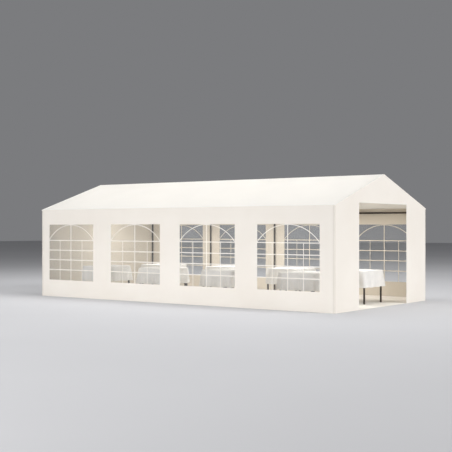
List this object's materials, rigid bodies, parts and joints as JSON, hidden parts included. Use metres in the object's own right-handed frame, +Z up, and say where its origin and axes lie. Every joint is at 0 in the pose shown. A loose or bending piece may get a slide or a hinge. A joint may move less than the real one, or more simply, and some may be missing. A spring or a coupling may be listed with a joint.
{
  "type": "marquee tent",
  "caption": "Marquee tent on a steel tube frame, with a gabled fabric roof, windowed side walls, an open doorway in one gable, and cloth-covered tables inside.",
  "frame": {"origin": "centre of the base, on the ground", "axes": "+Z up, +X along the length towards the gable with the doorway, +Y across"},
  "size_m": [8, 4, 2.705],
  "materials": {
    "roof_fabric": "satin coated fabric",
    "wall_fabric": "satin coated fabric",
    "floor_fabric": "matte woven sheet",
    "window_film": "clear soft film",
    "tube_steel": "satin powder coat",
    "table_wood": "dark stain",
    "white_cotton": "matte woven cloth"
  },
  "bodies": {
    "root": {"floor_sheet": "floor_fabric", "front_post_1": "tube_steel", "front_post_2": "tube_steel", "front_post_3": "tube_steel", "front_post_4": "tube_steel", "front_post_5": "tube_steel", "back_post_1": "tube_steel", "back_post_2": "tube_steel", "back_post_3": "tube_steel", "back_post_4": "tube_steel", "back_post_5": "tube_steel", "front_eave_rail": "tube_steel", "back_eave_rail": "tube_steel", "ridge_rail": "tube_steel", "roof_bow_1": "tube_steel", "roof_bow_2": "tube_steel", "roof_bow_3": "tube_steel", "roof_bow_4": "tube_steel", "roof_bow_5": "tube_steel", "front_wall": "wall_fabric", "back_wall": "wall_fabric", "front_window_1": "window_film", "front_window_2": "window_film", "front_window_3": "window_film", "front_window_4": "window_film", "back_window_1": "window_film", "back_window_2": "window_film", "back_window_3": "window_film", "back_window_4": "window_film", "closed_gable": "wall_fabric", "door_gable_front": "wall_fabric", "door_gable_back": "wall_fabric", "door_gable_head": "wall_fabric", "roof_sheet": "roof_fabric", "table_1": "table_wood", "table_2": "table_wood", "table_3": "table_wood", "table_4": "table_wood", "table_5": "table_wood", "table_6": "table_wood", "table_7": "table_wood", "table_8": "table_wood", "tablecloth_1": "white_cotton", "tablecloth_2": "white_cotton", "tablecloth_3": "white_cotton", "tablecloth_4": "white_cotton", "tablecloth_5": "white_cotton", "tablecloth_6": "white_cotton", "tablecloth_7": "white_cotton", "tablecloth_8": "white_cotton"}
  },
  "joints": []
}
